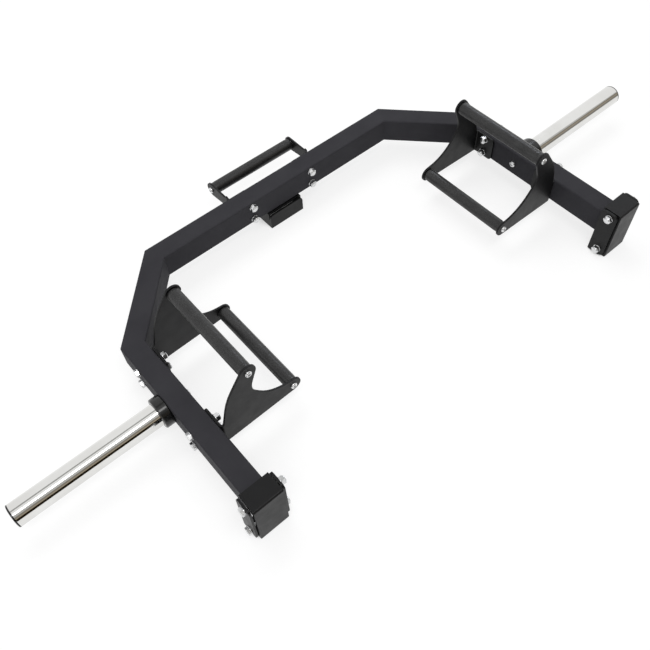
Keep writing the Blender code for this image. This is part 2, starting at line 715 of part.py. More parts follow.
def main():
    """Builds the whole bar."""
    clear_scene()
    origin = bpy.data.objects.new("bar_axis", None)
    bpy.context.collection.objects.link(origin)
    origin.location = (0.0, -MIDDLE_Y, FLOOR_DROP)
    finish = make_materials()
    build_frame(origin, finish)
    build_side_handles(origin, finish)
    build_back_handle(origin, finish)
    build_front_feet(origin, finish)
    build_back_foot(origin, finish)
    build_sleeves(origin, finish)


main()
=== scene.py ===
"""Looks of the open-ended trap bar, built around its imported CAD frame.

Every length is in metres. The pieces are laid out from the sleeve axis, as the CAD is:
X runs along both sleeves, Y points from the open end to the back beam, and Z is up and
zero at the middle of the tube. Workshop carries them to the frame's own place.
"""

from __future__ import annotations

import json
import logging
import math
from collections.abc import Callable, Iterable, Sequence
from dataclasses import dataclass, field
from enum import Enum

import bmesh
import bpy
from mathutils import Matrix, Vector

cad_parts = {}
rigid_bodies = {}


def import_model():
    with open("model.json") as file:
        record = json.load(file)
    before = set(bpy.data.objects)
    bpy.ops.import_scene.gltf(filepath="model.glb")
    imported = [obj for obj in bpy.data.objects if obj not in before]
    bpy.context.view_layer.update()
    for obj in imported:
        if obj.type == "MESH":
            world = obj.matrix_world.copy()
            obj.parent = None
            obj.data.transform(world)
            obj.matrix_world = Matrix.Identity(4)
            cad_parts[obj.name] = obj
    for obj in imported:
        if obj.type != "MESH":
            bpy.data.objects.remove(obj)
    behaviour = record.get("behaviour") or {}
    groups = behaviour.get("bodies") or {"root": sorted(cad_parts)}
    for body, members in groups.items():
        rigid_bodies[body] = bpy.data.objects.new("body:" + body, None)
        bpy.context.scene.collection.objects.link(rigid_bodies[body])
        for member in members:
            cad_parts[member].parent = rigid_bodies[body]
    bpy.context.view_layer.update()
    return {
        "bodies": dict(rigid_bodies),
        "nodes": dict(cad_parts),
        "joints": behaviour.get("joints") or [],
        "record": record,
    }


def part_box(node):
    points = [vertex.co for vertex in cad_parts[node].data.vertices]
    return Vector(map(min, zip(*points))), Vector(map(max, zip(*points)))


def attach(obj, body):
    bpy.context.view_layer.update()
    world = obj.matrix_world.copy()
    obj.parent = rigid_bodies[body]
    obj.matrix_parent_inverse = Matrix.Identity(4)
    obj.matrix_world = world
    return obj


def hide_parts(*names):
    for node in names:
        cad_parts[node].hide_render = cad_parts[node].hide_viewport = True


LOG = logging.getLogger("trap_bar")

Point2 = tuple[float, float]
Point3 = tuple[float, float, float]
Circle = tuple[float, float, float]
Colour = tuple[float, float, float]
Mitre = tuple[Vector, Vector]
Mesh = bmesh.types.BMesh
Socket = bpy.types.NodeSocket

# The thickness of every folded plate, and the clearance between pieces that only touch.
PLATE = 0.005
GAP = 0.0003

ORIGIN = (0, 0, 0)
UP = (0, 0, 1)
WHITE = (1.0, 1.0, 1.0, 1.0)


class Half(Enum):
    """One of two mirrored halves; its value is its sign."""

    @property
    def label(self) -> str:
        """The half's name in node names."""
        return self.name.lower()


class Side(Half):
    """The two halves of the bar."""

    LEFT = -1
    RIGHT = 1


class End(Half):
    """The two ends of a side handle, or of the back foot."""

    FRONT = -1
    REAR = 1


class Coat(Enum):
    """The bar's finishes; each value is the record's material slot."""

    FRAME = "frame_coat"
    PLATE = "plate_coat"
    GRIP = "knurled_grip"
    ZINC = "zinc_hardware"
    STEEL = "turned_steel"
    CHROME = "chrome_sleeve"
    POLYMER = "black_polymer"
    BRONZE = "bush_bronze"


# Finishes


class NodeSheet:
    """A small builder for one node tree."""

    def __init__(self, tree: bpy.types.NodeTree) -> None:
        """Takes over a tree."""
        self.tree = tree

    def node(self, kind: str, settings: dict[str, object] | None = None,
             **sockets: object) -> bpy.types.Node:
        """Adds a node.

        Args:
            kind: Blender's node type.
            settings: Attributes of the node itself.
            sockets: Values or links for its inputs, with _ for a space.

        Returns:
            The new node.
        """
        made = self.tree.nodes.new(kind)
        for key, value in (settings or {}).items():
            setattr(made, key, value)
        for key, value in sockets.items():
            self.feed(made.inputs[key.replace("_", " ")], value)
        return made

    def joined(self, kind: str, *sources: Socket, **settings: object) -> Socket:
        """Adds a node and links its inputs in their own order.

        Args:
            kind: Blender's node type.
            sources: One output for each of its first inputs.
            settings: Attributes of the node itself.

        Returns:
            The node's first output.
        """
        made = self.node(kind, settings)
        for socket, source in zip(made.inputs, sources):
            self.feed(socket, source)
        return made.outputs[0]

    def feed(self, socket: Socket, value: object) -> None:
        """Links an output to a socket, or sets the socket's own value.

        Args:
            socket: The input to feed.
            value: An output, or a plain value.
        """
        if isinstance(value, Socket):
            self.tree.links.new(value, socket)
        else:
            socket.default_value = value


class FinishSheet(NodeSheet):
    """The nodes of one finish, around its Principled shader."""

    def __init__(self, name: str) -> None:
        """Starts a material.

        Args:
            name: The material's name.
        """
        self.material = bpy.data.materials.new(name)
        self.material.use_nodes = True
        super().__init__(self.material.node_tree)
        self.shader = self.tree.nodes["Principled BSDF"]
        self.place = self.node("ShaderNodeTexCoord").outputs["Object"]

    def set(self, **values: object) -> None:
        """Feeds the Principled shader's sockets, with _ for a space."""
        for key, value in values.items():
            self.feed(self.shader.inputs[key.replace("_", " ")], value)

    def cloud(self, scale: float, detail: float = 3.0, roughness: float = 0.55,
              stretch: Point3 = (1, 1, 1)) -> Socket:
        """Returns noise in the piece's own space.

        Args:
            scale: Cells to the metre.
            detail: Octaves.
            roughness: Share of the finer octaves.
            stretch: Scale along each axis, for streaks.

        Returns:
            The noise factor, 0 to 1.
        """
        place = self.place
        if stretch != (1, 1, 1):
            place = self.node("ShaderNodeMapping", Vector=place, Scale=stretch).outputs["Vector"]
        noise = self.node("ShaderNodeTexNoise", Vector=place, Scale=scale, Detail=detail,
                          Roughness=roughness)
        return noise.outputs["Fac"]

    def spread(self, source: Socket, to: Point2 = (0.0, 1.0), across: Point2 = (0.3, 0.7)) -> Socket:
        """Returns a factor stretched from one range to another and held there.

        Args:
            source: The factor.
            to: The range that it gets.
            across: The range that is stretched.

        Returns:
            The stretched factor.
        """
        made = self.node("ShaderNodeMapRange", Value=source, From_Min=across[0], From_Max=across[1],
                         To_Min=to[0], To_Max=to[1])
        return made.outputs["Result"]

    def blend(self, factor: Socket, low: Colour, high: Colour) -> Socket:
        """Returns a colour that runs from low at 0 to high at 1.

        Args:
            factor: The place between the two.
            low: The colour at 0.
            high: The colour at 1.

        Returns:
            The colour's socket.
        """
        ramp = self.node("ShaderNodeValToRGB", Fac=factor)
        for element, colour in zip(ramp.color_ramp.elements, (low, high)):
            element.color = (*colour, 1.0)
        return ramp.outputs["Color"]

    def relief(self, height: Socket, strength: float, depth: float) -> None:
        """Adds a bump on top of those that the shader already has.

        Args:
            height: What is raised.
            strength: How much of the bump shows.
            depth: How high it rises.
        """
        bump = self.node("ShaderNodeBump", Height=height, Strength=strength, Distance=depth)
        normal = self.shader.inputs["Normal"]
        if normal.is_linked:
            self.feed(bump.inputs["Normal"], normal.links[0].from_socket)
        self.feed(normal, bump.outputs["Normal"])


@dataclass(frozen=True)
class Finish:
    """What every finish has: two tones and a range of roughness, both spread in clouds."""

    deep: Colour
    pale: Colour
    roughness: Point2

    def dress(self, sheet: FinishSheet) -> None:
        """Wires the finish's nodes; each finish has its own way."""
        raise NotImplementedError

    def make(self, name: str) -> bpy.types.Material:
        """Returns the finish's material.

        Args:
            name: The material's name.

        Returns:
            The new material.
        """
        sheet = FinishSheet(name)
        self.dress(sheet)
        return sheet.material


@dataclass(frozen=True)
class PowderCoat(Finish):
    """Black powder coat: fine orange peel over ripples, with patchy tone and gloss."""

    peel: float
    specular: float
    patches: float = 11.0
    smears: float = 34.0
    ripples: float = 140.0
    ripple_bump: Point2 = (0.10, 0.0006)
    peel_bump: Point2 = (0.22, 0.0002)

    def dress(self, sheet: FinishSheet) -> None:
        """Wires the coat's nodes.

        Args:
            sheet: The material's nodes.
        """
        patches = sheet.cloud(self.patches, detail=4.0)
        peel = sheet.cloud(self.peel, detail=2.0)
        ripples = sheet.cloud(self.ripples, detail=2.0)
        sheet.set(
            Base_Color=sheet.blend(sheet.spread(patches), self.deep, self.pale),
            Roughness=sheet.spread(sheet.cloud(self.smears, detail=5.0), self.roughness),
            Specular_IOR_Level=self.specular,
        )
        sheet.relief(ripples, *self.ripple_bump)
        sheet.relief(peel, *self.peel_bump)


@dataclass(frozen=True)
class KnurledSteel(Finish):
    """Blackened knurled steel: deep in its valleys, and rubbed pale on its teeth."""

    metallic: float = 0.35
    sheen: Point2 = (0.22, 0.35)
    teeth: float = 1400.0
    teeth_across: Point2 = (0.42, 0.66)
    teeth_bump: Point2 = (0.15, 0.0002)
    rubbing: float = 28.0
    rubbed: Point2 = (0.70, 1.0)
    smears: float = 90.0

    def dress(self, sheet: FinishSheet) -> None:
        """Wires the grip's nodes.

        Args:
            sheet: The material's nodes.
        """
        teeth = sheet.cloud(self.teeth, roughness=0.7)
        rubbing = sheet.cloud(self.rubbing, detail=4.0)
        bare = sheet.joined("ShaderNodeMath", sheet.spread(teeth, across=self.teeth_across),
                            sheet.spread(rubbing, self.rubbed, across=(0.35, 0.65)), operation="MULTIPLY")
        sheet.set(
            Base_Color=sheet.blend(bare, self.deep, self.pale),
            Metallic=self.metallic,
            Sheen_Weight=self.sheen[0],
            Sheen_Roughness=self.sheen[1],
            Roughness=sheet.spread(sheet.cloud(self.smears), self.roughness),
        )
        sheet.relief(teeth, *self.teeth_bump)


@dataclass(frozen=True)
class PlatedSteel(Finish):
    """Bright plated or turned metal, with handling haze and fine marks."""

    haze: float
    mark_stretch: Point3 = (1, 1, 1)
    mark_depth: float = 0.0001
    marks: float = 60.0
    mark_strength: float = 0.05

    def dress(self, sheet: FinishSheet) -> None:
        """Wires the metal's nodes.

        Args:
            sheet: The material's nodes.
        """
        haze = sheet.cloud(self.haze, detail=4.0)
        marks = sheet.cloud(self.marks, detail=4.0, roughness=0.65, stretch=self.mark_stretch)
        sheet.set(
            Base_Color=sheet.blend(sheet.spread(haze), self.deep, self.pale),
            Metallic=1.0,
            Roughness=sheet.spread(marks, self.roughness),
        )
        sheet.relief(marks, self.mark_strength, self.mark_depth)


@dataclass(frozen=True)
class MouldedPolymer(Finish):
    """Black moulded polymer with a soft sheen and a trace of flow marks."""

    flow: float = 45.0
    smears: float = 70.0
    skin: float = 900.0
    skin_bump: Point2 = (0.08, 0.0001)

    def dress(self, sheet: FinishSheet) -> None:
        """Wires the polymer's nodes.

        Args:
            sheet: The material's nodes.
        """
        flow = sheet.cloud(self.flow)
        sheet.set(
            Base_Color=sheet.blend(sheet.spread(flow), self.deep, self.pale),
            Roughness=sheet.spread(sheet.cloud(self.smears), self.roughness),
        )
        sheet.relief(sheet.cloud(self.skin, detail=2.0), *self.skin_bump)


def grey(level: float) -> Colour:
    """Returns a neutral colour."""
    return level, level, level


FINISHES: dict[Coat, Finish] = {
    Coat.FRAME: PowderCoat(deep=(0.0360, 0.0353, 0.0405), pale=(0.0450, 0.0443, 0.0500),
                           roughness=(0.58, 0.68), peel=900.0, specular=0.10),
    Coat.PLATE: PowderCoat(deep=(0.0030, 0.0030, 0.0033), pale=(0.0055, 0.0055, 0.0060),
                           roughness=(0.40, 0.50), peel=1100.0, specular=0.25),
    Coat.GRIP: KnurledSteel(deep=grey(0.006), pale=grey(0.086), roughness=(0.28, 0.42)),
    Coat.ZINC: PlatedSteel(deep=(0.60, 0.61, 0.62), pale=grey(0.82), roughness=(0.16, 0.34), haze=160.0),
    Coat.STEEL: PlatedSteel(deep=(0.38, 0.38, 0.39), pale=grey(0.50), roughness=(0.28, 0.40), haze=80.0,
                            mark_stretch=(30, 1, 1)),
    Coat.CHROME: PlatedSteel(deep=(0.70, 0.695, 0.675), pale=(0.78, 0.78, 0.765), roughness=(0.045, 0.095),
                             haze=14.0, mark_stretch=(0.15, 4, 4), mark_depth=0.00003),
    Coat.POLYMER: MouldedPolymer(deep=grey(0.003), pale=grey(0.006), roughness=(0.16, 0.26)),
    Coat.BRONZE: PlatedSteel(deep=(0.42, 0.25, 0.10), pale=(0.60, 0.40, 0.18), roughness=(0.34, 0.48),
                             haze=120.0),
}


# Mesh tools


def belt(circles: Sequence[Circle], step: float = math.radians(7.5)) -> list[Point2]:
    """Returns the outline of a belt around signed circles.

    Args:
        circles: x, y and radius; above zero the belt turns left round the circle,
            below zero right, and at zero it makes a sharp corner.
        step: Largest turn between two points.

    Returns:
        The outline's points, counter-clockwise.
    """
    headings = []
    for here, there in zip(circles, [*circles[1:], circles[0]]):
        along = Vector((there[0] - here[0], there[1] - here[1]))
        lean = math.asin((here[2] - there[2]) / along.length)
        headings.append(math.atan2(along.y, along.x) + lean)
    points: list[Point2] = []
    for index, (x, y, radius) in enumerate(circles):
        start, end = headings[index - 1], headings[index]
        turn = (end - start) % (2 * math.pi)
        if radius < 0:
            turn -= 2 * math.pi
        steps = 0 if radius == 0 else max(1, math.ceil(abs(turn) / step))
        for count in range(steps + 1):
            heading = start + turn * count / max(steps, 1)
            points.append((x + radius * math.sin(heading), y - radius * math.cos(heading)))
    return points


def round_box(half_u: float, half_v: float, radius: float) -> list[Point2]:
    """Returns a rectangle with rounded corners, counter-clockwise."""
    spots = [(a * (half_u - radius), b * (half_v - radius)) for a, b in ((-1, -1), (1, -1), (1, 1), (-1, 1))]
    return belt([(u, v, radius) for u, v in spots], step=math.radians(15))


def round_angles(sides: int) -> list[float]:
    """Returns evenly spaced angles round a circle."""
    return [2 * math.pi * step / sides for step in range(sides)]


def round_point(angle: float, radius: float, offset: float) -> Vector:
    """Returns a point at an angle and a radius from Z, at an offset along it."""
    return Vector((radius * math.cos(angle), radius * math.sin(angle), offset))


def hex_cosine(angle: float) -> float:
    """Returns the cosine of an angle measured from the middle of a hexagon's nearest flat."""
    return math.cos((angle + math.pi / 6) % (math.pi / 3) - math.pi / 6)


# Each takes a flat (u, v) outline and its depth w to the axes that it is named for.
FLAT_XY = Matrix.Identity(3)
FLAT_YZ = Matrix(((0, 0, 1), (1, 0, 0), (0, 1, 0)))
FLAT_XZ = Matrix(((1, 0, 0), (0, 0, 1), (0, 1, 0)))


def along_axis(start: Point3, direction: Point3) -> Matrix:
    """Returns the matrix that takes local +Z to a direction, from a start point."""
    turn = Vector(UP).rotation_difference(Vector(direction)).to_matrix().to_4x4()
    return Matrix.Translation(Vector(start)) @ turn


def outward(mesh: Mesh) -> Mesh:
    """Turns the faces of a closed mesh outward.

    Args:
        mesh: The mesh to change.

    Returns:
        The same mesh.
    """
    bmesh.ops.recalc_face_normals(mesh, faces=mesh.faces[:])
    if mesh.calc_volume(signed=True) < 0:
        bmesh.ops.reverse_faces(mesh, faces=mesh.faces[:])
    return mesh


def settled(mesh: Mesh) -> Mesh:
    """Gives a mesh's points and faces the same order in every run.

    Args:
        mesh: The mesh to copy; it is freed.

    Returns:
        The same shape as a new mesh.
    """
    places = {vert: place for place, vert in enumerate(sorted(mesh.verts, key=lambda vert: vert.co[:]))}
    rings = []
    for face in mesh.faces:
        ring = [places[vert] for vert in face.verts]
        first = ring.index(min(ring))
        rings.append(ring[first:] + ring[:first])
    copy = bmesh.new()
    verts = [copy.verts.new(vert.co) for vert in places]
    for ring in sorted(rings):
        copy.faces.new([verts[place] for place in ring])
    copy.normal_update()
    mesh.free()
    return copy


def ring_mesh(rings: Sequence[Sequence[Vector]], loop: bool = False) -> Mesh:
    """Returns a closed skin through rings of points.

    Args:
        rings: Rings with equally many points each.
        loop: Whether the last ring joins the first; otherwise both are capped.

    Returns:
        The skin, with its normals outward.
    """
    mesh = bmesh.new()
    made = [[mesh.verts.new(point) for point in ring] for ring in rings]
    pairs = list(zip(made, made[1:])) + ([(made[-1], made[0])] if loop else [])
    for lower, upper in pairs:
        for quad in zip(lower, lower[1:] + lower[:1], upper[1:] + upper[:1], upper):
            mesh.faces.new(quad)
    if not loop:
        mesh.faces.new(made[0][::-1])
        mesh.faces.new(made[-1])
    return outward(mesh)


def prism(points: Sequence[Point2], low: float, high: float, turn: Matrix = FLAT_XY) -> Mesh:
    """Returns an outline drawn out from low to high.

    Args:
        points: The outline as (u, v).
        low: Where the prism starts along w.
        high: Where it ends.
        turn: Maps (u, v, w) to the bar's frame.

    Returns:
        The closed prism.
    """
    return ring_mesh([[turn @ Vector((u, v, w)) for u, v in points] for w in (low, high)])


def turned(profile: Sequence[Point2], sides: int, start: Point3 = ORIGIN, direction: Point3 = UP,
           loop: bool = False) -> Mesh:
    """Returns a profile turned about an axis.

    Args:
        profile: (offset along the axis, radius) pairs.
        sides: Steps round the axis.
        start: Where offset zero lies.
        direction: The axis.
        loop: Whether the profile closes on itself, as a ring does.

    Returns:
        The turned solid.
    """
    place = along_axis(start, direction)
    return ring_mesh([[place @ round_point(angle, radius, offset) for angle in round_angles(sides)]
                      for offset, radius in profile], loop)


def lip(offset: float, radius: float, steps: Iterable[Point2]) -> list[Point2]:
    """Returns profile points that lie (along, inward) of an offset and a radius."""
    return [(offset + along, radius - inward) for along, inward in steps]


def soften(mesh: Mesh, width: float) -> Mesh:
    """Rounds every edge that is sharper than 50 degrees.

    Args:
        mesh: The mesh to change.
        width: The rounding's width.

    Returns:
        The same mesh.
    """
    sharp = math.radians(50)
    edges = [edge for edge in mesh.edges if len(edge.link_faces) == 2 and edge.calc_face_angle() > sharp]
    bmesh.ops.bevel(mesh, geom=edges, offset=width, segments=2, profile=0.5, affect="EDGES",
                    clamp_overlap=True)
    return mesh


def spent(mesh: Mesh, name: str = "part") -> bpy.types.Mesh:
    """Returns new mesh data that holds a bmesh, and frees the bmesh.

    Args:
        mesh: The mesh to hand over.
        name: The data's name.

    Returns:
        The data.
    """
    data = bpy.data.meshes.new(name)
    mesh.to_mesh(data)
    mesh.free()
    return data


def linked(name: str, data: bpy.types.ID) -> bpy.types.Object:
    """Returns a new object in the scene.

    Args:
        name: The object's name.
        data: Its mesh, lamp or camera.

    Returns:
        The object.
    """
    item = bpy.data.objects.new(name, data)
    bpy.context.scene.collection.objects.link(item)
    return item


def merged(meshes: Iterable[Mesh]) -> Mesh:
    """Returns one bmesh that holds several, and frees them.

    Args:
        meshes: The meshes to join as they are.

    Returns:
        The joined mesh.
    """
    whole = bmesh.new()
    for part in meshes:
        carrier = spent(part)
        whole.from_mesh(carrier)
        bpy.data.meshes.remove(carrier)
    return whole


def united(meshes: Iterable[Mesh]) -> Mesh:
    """Returns the union of closed meshes with its flat faces whole, and frees them.

    Args:
        meshes: Closed meshes that overlap.

    Returns:
        Their union.
    """
    items = [linked("part", spent(part)) for part in meshes]
    for other in items[1:]:
        join = items[0].modifiers.new(other.name, "BOOLEAN")
        join.operation = "UNION"
        join.solver = "EXACT"
        join.object = other
    whole = bmesh.new()
    whole.from_object(items[0], bpy.context.evaluated_depsgraph_get())
    for item in items:
        data = item.data
        bpy.data.objects.remove(item)
        bpy.data.meshes.remove(data)
    same_place, same_plane = 1e-6, math.radians(0.5)
    bmesh.ops.remove_doubles(whole, verts=whole.verts[:], dist=same_place)
    bmesh.ops.dissolve_limit(whole, angle_limit=same_plane, verts=whole.verts[:], edges=whole.edges[:])
    return whole


@dataclass
class Workshop:
    """Turns meshes into pieces that ride on the CAD's bodies."""

    frame: dict[str, object]
    materials: dict[Coat, bpy.types.Material]
    axis: Vector = field(init=False)

    def __post_init__(self) -> None:
        """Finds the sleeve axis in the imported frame."""
        low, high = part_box("left_sleeve")
        middle = (low + high) / 2
        self.axis = Vector((0.0, middle.y, middle.z))

    def piece(self, node: str, mesh: Mesh, coat: Coat, body: str = "frame",
              sharp: float = math.radians(32)) -> None:
        """Makes the piece that stands for one CAD node.

        Args:
            node: The node.
            mesh: The piece's mesh in the sleeve frame; it is freed.
            coat: Its finish.
            body: The CAD body it rides on.
            sharp: Edges above this angle stay sharp.
        """
        name = f"{node}_dressed"
        bmesh.ops.translate(mesh, verts=mesh.verts[:], vec=self.axis)
        item = linked(name, spent(mesh, name))
        data = item.data
        data.materials.append(self.materials[coat])
        data.shade_smooth()
        data.set_sharp_from_angle(angle=sharp)
        weigh = item.modifiers.new("even_normals", "WEIGHTED_NORMAL")
        weigh.keep_sharp = True
        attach(item, body)
        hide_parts(node)
        LOG.info("%s rides on %s", name, body)

    def keep(self, node: str, coat: Coat) -> None:
        """Gives a CAD node that stays its finish.

        Args:
            node: The node.
            coat: Its finish.
        """
        item = self.frame["nodes"][node]
        item.data.materials.clear()
        item.data.materials.append(self.materials[coat])
        LOG.info("%s stays as it is", node)


# Fasteners


@dataclass(frozen=True)
class HexSize:
    """Sizes of one hex bolt with its washers and its dome nut.

    Shares are of half the width across flats. The dome's radius is flat + curve at its
    foot and flat at its top.
    """

    shank: float = 0.005
    half_flats: float = 0.0082
    head: float = 0.0064
    nut: float = 0.0080
    washer: float = 0.0096
    washer_thickness: float = 0.0016
    washer_rim: float = 0.0003
    seat_height: float = 0.0002
    seat_share: float = 0.93
    crown_share: float = 0.96
    chamfer: float = math.radians(32)
    stamp: tuple[Point2, Point2] = ((0.0004, 0.62), (-0.0001, 0.60))
    dome: float = 0.0025
    dome_root: Point2 = (-0.0006, 0.90)
    dome_flat: float = 0.30
    dome_curve: float = 0.58
    dome_steps: int = 6
    eye: float = 0.0006


@dataclass(frozen=True)
class SocketSize:
    """Sizes of one button head bolt.

    bite is how far its shank goes past what it clamps. button holds the head's profile
    as (below its top, share of its radius).
    """

    shank: float
    half_socket: float
    head: float
    radius: float
    bite: float
    depth: float = 0.0030
    drill: float = 0.0012
    chamfer: float = 0.0003
    eye: float = 0.0004
    button: tuple[Point2, ...] = ((0.0, 0.66), (0.0004, 0.80), (0.0013, 0.93), (0.0026, 1.0))


@dataclass(frozen=True)
class Fasteners:
    """The bar's zinc-plated bolts."""

    shop: Workshop
    hexes: HexSize = HexSize()
    grip_bolt: SocketSize = SocketSize(0.004, 0.0029, 0.0044, 0.0076, 0.022)
    axle_bolt: SocketSize = SocketSize(0.005, 0.0041, 0.0058, 0.0078, 0.030)
    stud_inset: float = 0.0005
    sides: int = 48

    def hexagon(self, low: float, high: float) -> Mesh:
        """Returns a hexagon with a chamfered crown at its high end.

        Args:
            low: Where it starts along Z.
            high: Where its crown is.

        Returns:
            The closed hexagon.
        """
        size = self.hexes
        seat, crown = size.half_flats * size.seat_share, size.half_flats * size.crown_share
        rings: list[list[Vector]] = [[], [], [], []]
        for angle in round_angles(self.sides):
            reach = size.half_flats / hex_cosine(angle)
            drop = max(0.0, reach - crown) * math.tan(size.chamfer)
            steps = ((seat, low), (reach, low + size.seat_height), (reach, high - drop), (crown, high))
            for ring, (radius, offset) in zip(rings, steps):
                ring.append(round_point(angle, radius, offset))
        return ring_mesh(rings)

    def washer(self, low: float, high: float) -> Mesh:
        """Returns a flat washer with broken edges.

        Args:
            low: Where it starts along Z.
            high: Where it ends.

        Returns:
            The closed washer.
        """
        radius, rim = self.hexes.washer, self.hexes.washer_rim
        profile = [(low, radius - rim), (low + rim, radius), (high - rim, radius), (high, radius - rim)]
        return turned(profile, sides=40)

    def head(self) -> list[Mesh]:
        """Returns a hex head on its washer, seated at zero and pointing down."""
        size = self.hexes
        seat = -(GAP + size.washer_thickness)
        stamp = [(seat - size.head + rise, size.half_flats * share) for rise, share in size.stamp]
        stamp.append((stamp[-1][0], size.eye))
        head = self.hexagon(0.0, size.head)
        bmesh.ops.transform(head, matrix=along_axis((0, 0, seat), (0, 0, -1)), verts=head.verts[:])
        return [head, turned(stamp, sides=32), self.washer(seat, -GAP)]

    def nut(self, start: float, clamped: float) -> list[Mesh]:
        """Returns a shank with a washer and a dome nut on its far end.

        Args:
            start: Where the shank starts along Z.
            clamped: The thickness below the washer.

        Returns:
            The shank, the washer, the nut and its dome.
        """
        size = self.hexes
        seat = clamped + GAP + size.washer_thickness
        top = seat + size.nut
        dome = [(top + size.dome_root[0], size.half_flats * size.dome_root[1])]
        for step in range(size.dome_steps + 1):
            angle = math.radians(90 / size.dome_steps * step)
            share = size.dome_flat + size.dome_curve * math.cos(angle)
            dome.append((top + size.dome * math.sin(angle), size.half_flats * share))
        dome.append((top + size.dome, size.eye))
        return [
            turned([(start, size.shank), (clamped + GAP, size.shank)], sides=24),
            self.washer(clamped + GAP, seat),
            self.hexagon(seat, top),
            turned(dome, sides=40),
        ]

    def fit(self, node: str, mesh: Mesh, start: Point3, direction: Point3) -> None:
        """Moves a bolt from the Z axis to its place and makes it a piece.

        Args:
            node: The node it stands for.
            mesh: The bolt along Z.
            start: Where its zero goes.
            direction: Where its Z goes.
        """
        bmesh.ops.transform(mesh, matrix=along_axis(start, direction), verts=mesh.verts[:])
        self.shop.piece(node, mesh, Coat.ZINC)

    def through(self, node: str, start: Point3, direction: Point3, clamped: float,
                headed: bool = True) -> None:
        """Makes a hex bolt, or a stud that ends inside its plate, with a dome nut.

        Args:
            node: The node it stands for.
            start: Where the head's washer meets the work, or the back of the stud's plate.
            direction: Towards the nut.
            clamped: The thickness from the start to the nut's washer.
            headed: Whether it is a bolt and not a stud.
        """
        parts = self.head() + self.nut(-GAP, clamped) if headed else self.nut(self.stud_inset, clamped)
        self.fit(node, merged(parts), start, direction)

    def socket(self, node: str, start: Point3, direction: Point3, size: SocketSize, clamped: float) -> None:
        """Makes a button head bolt with a hex socket.

        Args:
            node: The node it stands for.
            start: Where the head meets the work.
            direction: Into the work.
            size: The bolt's sizes.
            clamped: The thickness that the shank goes through before it bites.
        """
        top = -(GAP + size.head)
        hollow = [
            (top + size.depth, size.half_socket),
            (top + size.chamfer, size.half_socket),
            (top, size.half_socket + size.chamfer),
        ]
        solid = [(top + below, size.radius * share) for below, share in size.button]
        solid += [(-GAP, size.radius), (-GAP, size.shank), (clamped + size.bite, size.shank)]
        angles = round_angles(self.sides)
        rings = [[round_point(angle, size.eye, top + size.depth + size.drill) for angle in angles]]
        rings += [[round_point(angle, flats / hex_cosine(angle), offset) for angle in angles]
                  for offset, flats in hollow]
        rings += [[round_point(angle, radius, offset) for angle in angles] for offset, radius in solid]
        self.fit(node, ring_mesh(rings), start, direction)


# The bar


def mirrored(pair: Mitre, side: Side) -> Mitre:
    """Returns an inner and an outer plan point on one side of the bar."""
    inner, outer = (Vector((side.value * point.x, point.y)) for point in pair)
    return inner, outer


@dataclass(frozen=True)
class TubeFrame:
    """The five box tubes, mitred and welded."""

    shop: Workshop
    width: float = 0.050
    height: float = 0.064
    wall: float = 0.003
    corner: float = 0.0045
    arm_x: float = 0.517
    back_corner: Point2 = (0.3605, 0.355)
    bend_y: float = 0.163
    front_y: float = -0.304

    @property
    def inner_x(self) -> float:
        """The X of the right arm's inner face."""
        return self.arm_x - self.width / 2

    @property
    def outer_x(self) -> float:
        """The X of the right arm's outer face."""
        return self.arm_x + self.width / 2

    @property
    def rear_y(self) -> float:
        """The Y of the back beam's rear face."""
        return self.back_corner[1]

    def mitres(self) -> tuple[Mitre, Mitre]:
        """Returns the right side's back and bend corners in plan, each inner and outer."""
        back, bend = Vector(self.back_corner), Vector((self.outer_x, self.bend_y))
        slope = (back - bend).normalized()
        base = bend + Vector((-slope.y, slope.x)) * self.width
        inner_back = base + slope * ((self.rear_y - self.width - base.y) / slope.y)
        inner_bend = base + slope * ((self.inner_x - base.x) / slope.x)
        return (inner_back, back), (inner_bend, bend)

    def tube(self, node: str, start: Mitre, end: Mitre) -> None:
        """Makes one tube between two mitres.

        Args:
            node: The node it stands for.
            start: The inner and outer plan point of its first end.
            end: Those of its other end.
        """
        rings: list[list[Vector]] = []
        for (inner, outer), inset in ((start, 0.0), (end, 0.0), (end, self.wall), (start, self.wall)):
            ring = []
            section = round_box(self.width / 2 - inset, self.height / 2 - inset, self.corner - inset)
            for across, up in section:
                plan = inner.lerp(outer, across / self.width + 0.5)
                ring.append(Vector((plan.x, plan.y, up)))
            rings.append(ring)
        self.shop.piece(node, ring_mesh(rings, loop=True), Coat.FRAME)

    def build(self) -> None:
        """Builds the beam, both diagonals and both arms."""
        back, bend = self.mitres()
        front = (Vector((self.inner_x, self.front_y)), Vector((self.outer_x, self.front_y)))
        self.tube("back_beam", mirrored(back, Side.LEFT), mirrored(back, Side.RIGHT))
        for side in Side:
            self.tube(f"{side.label}_diagonal", mirrored(back, side), mirrored(bend, side))
            self.tube(f"{side.label}_arm", mirrored(bend, side), mirrored(front, side))


